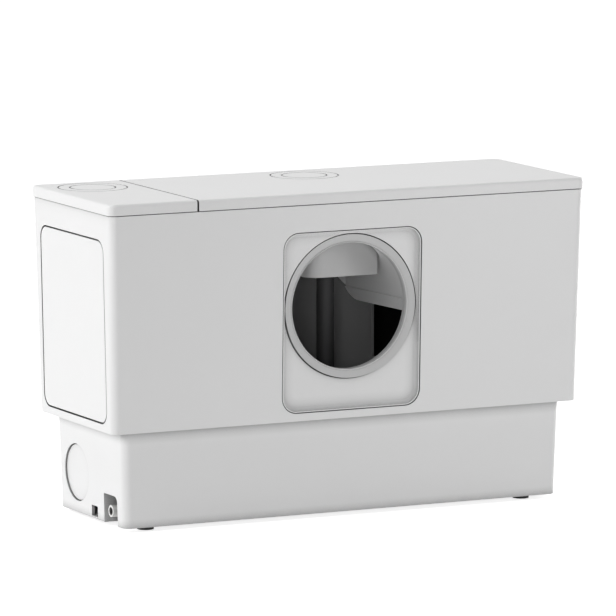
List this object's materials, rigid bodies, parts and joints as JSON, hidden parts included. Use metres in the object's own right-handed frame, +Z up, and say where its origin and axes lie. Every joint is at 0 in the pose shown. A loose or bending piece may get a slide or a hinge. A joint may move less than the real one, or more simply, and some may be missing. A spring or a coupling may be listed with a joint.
{
  "type": "sewage lifting station",
  "caption": "Slim floor-standing macerator station in two white casings, with a round front port, lift-off lids, a side cover and a pump, motor and valves inside.",
  "frame": {"origin": "under the middle of the station, on the surface that its feet stand on", "axes": "+X to the right seen from the front, -Y towards the front with the port, +Z up"},
  "size_m": [0.474, 0.171, 0.295],
  "materials": {
    "white_casing": "smooth moulded, satin gloss",
    "grey_collar": "moulded",
    "pale_rubber": "smooth lip",
    "black_rubber": "matt",
    "light_grey_plastic": "moulded",
    "dark_plastic": "moulded",
    "white_fitting": "moulded",
    "grey_control": "moulded",
    "black_control": "moulded",
    "green_terminal": "moulded",
    "green_board": "lacquered laminate",
    "aluminium_can": "drawn",
    "stainless_steel": "turned",
    "laminated_steel": "stacked sheet",
    "enamelled_copper": "wound and varnished",
    "activated_carbon": "open foam"
  },
  "bodies": {
    "casing": {"air_hose": "black_rubber", "cable_gland": "white_fitting", "capacitor": "aluminium_can", "carbon_filter": "activated_carbon", "check_flap_pin": "stainless_steel", "check_valve_body": "white_fitting", "control_board": "green_board", "control_cover": "grey_control", "control_screws": "stainless_steel", "control_tray": "grey_control", "discharge_hose": "black_rubber", "gland_nut": "white_fitting", "hose_clips": "stainless_steel", "inlet_chute": "light_grey_plastic", "inlet_flap_pin": "stainless_steel", "lower_bearing": "stainless_steel", "lower_casing": "white_casing", "macerator_basket": "dark_plastic", "microswitch": "black_control", "motor_cap": "light_grey_plastic", "motor_pod": "light_grey_plastic", "motor_screws": "stainless_steel", "port_collar": "grey_collar", "port_seal": "pale_rubber", "pressure_bell": "white_fitting", "pressure_switch": "grey_control", "pump_volute": "dark_plastic", "riser_elbow": "black_rubber", "rubber_feet": "black_rubber", "shaft_seal": "black_rubber", "side_inlet_spigot": "white_fitting", "stator_core": "laminated_steel", "stator_windings": "enamelled_copper", "suction_plate": "dark_plastic", "switch_spring": "stainless_steel", "tank_gasket": "black_rubber", "tank_lower": "dark_plastic", "tank_screws": "stainless_steel", "tank_upper": "dark_plastic", "terminal_block": "green_terminal", "upper_bearing": "stainless_steel", "upper_casing": "white_casing", "vent_housing": "white_fitting"},
    "rotor": {"rotor_core": "laminated_steel", "motor_shaft": "stainless_steel", "shaft_sleeve": "dark_plastic", "cutter_hub": "stainless_steel", "cutter_blades": "stainless_steel", "impeller": "dark_plastic", "impeller_nut": "stainless_steel"},
    "check_flap": {"check_flap": "white_fitting"},
    "inlet_flap": {"inlet_flap": "white_fitting"},
    "service_lid": {"service_lid": "white_casing"},
    "main_lid": {"main_lid": "white_casing"},
    "side_cover": {"side_cover": "white_casing"},
    "inlet_plug": {"inlet_plug": "white_casing"},
    "switch_plunger": {"switch_plunger": "grey_control"}
  },
  "joints": [
    {"name": "rotor_spin", "type": "hinge", "parent": "casing", "child": "rotor", "pos_m": [0.017, 0.0025, 0.1], "axis": [0, 0, 1], "continuous": true},
    {"name": "check_flap_swing", "type": "hinge", "parent": "casing", "child": "check_flap", "pos_m": [-0.162, -0.0075, 0.0971], "axis": [-1, 0, 0], "range_deg": [0, 60]},
    {"name": "inlet_flap_swing", "type": "hinge", "parent": "casing", "child": "inlet_flap", "pos_m": [-0.1049, 0.0302, 0.0661], "axis": [0, -1, 0], "range_deg": [0, 70]},
    {"name": "service_lid_lift", "type": "slide", "parent": "casing", "child": "service_lid", "axis": [0, 0, 1], "range_m": [0, 0.06]},
    {"name": "main_lid_lift", "type": "slide", "parent": "casing", "child": "main_lid", "axis": [0, 0, 1], "range_m": [0, 0.06]},
    {"name": "side_cover_pull", "type": "slide", "parent": "casing", "child": "side_cover", "axis": [-1, 0, 0], "range_m": [0, 0.06]},
    {"name": "inlet_plug_pull", "type": "slide", "parent": "casing", "child": "inlet_plug", "axis": [-1, 0, 0], "range_m": [0, 0.05]},
    {"name": "plunger_travel", "type": "slide", "parent": "casing", "child": "switch_plunger", "axis": [0, 0, 1], "range_m": [0, 0.002], "stiffness_N_per_m": 200, "deforming": ["switch_spring"]}
  ]
}
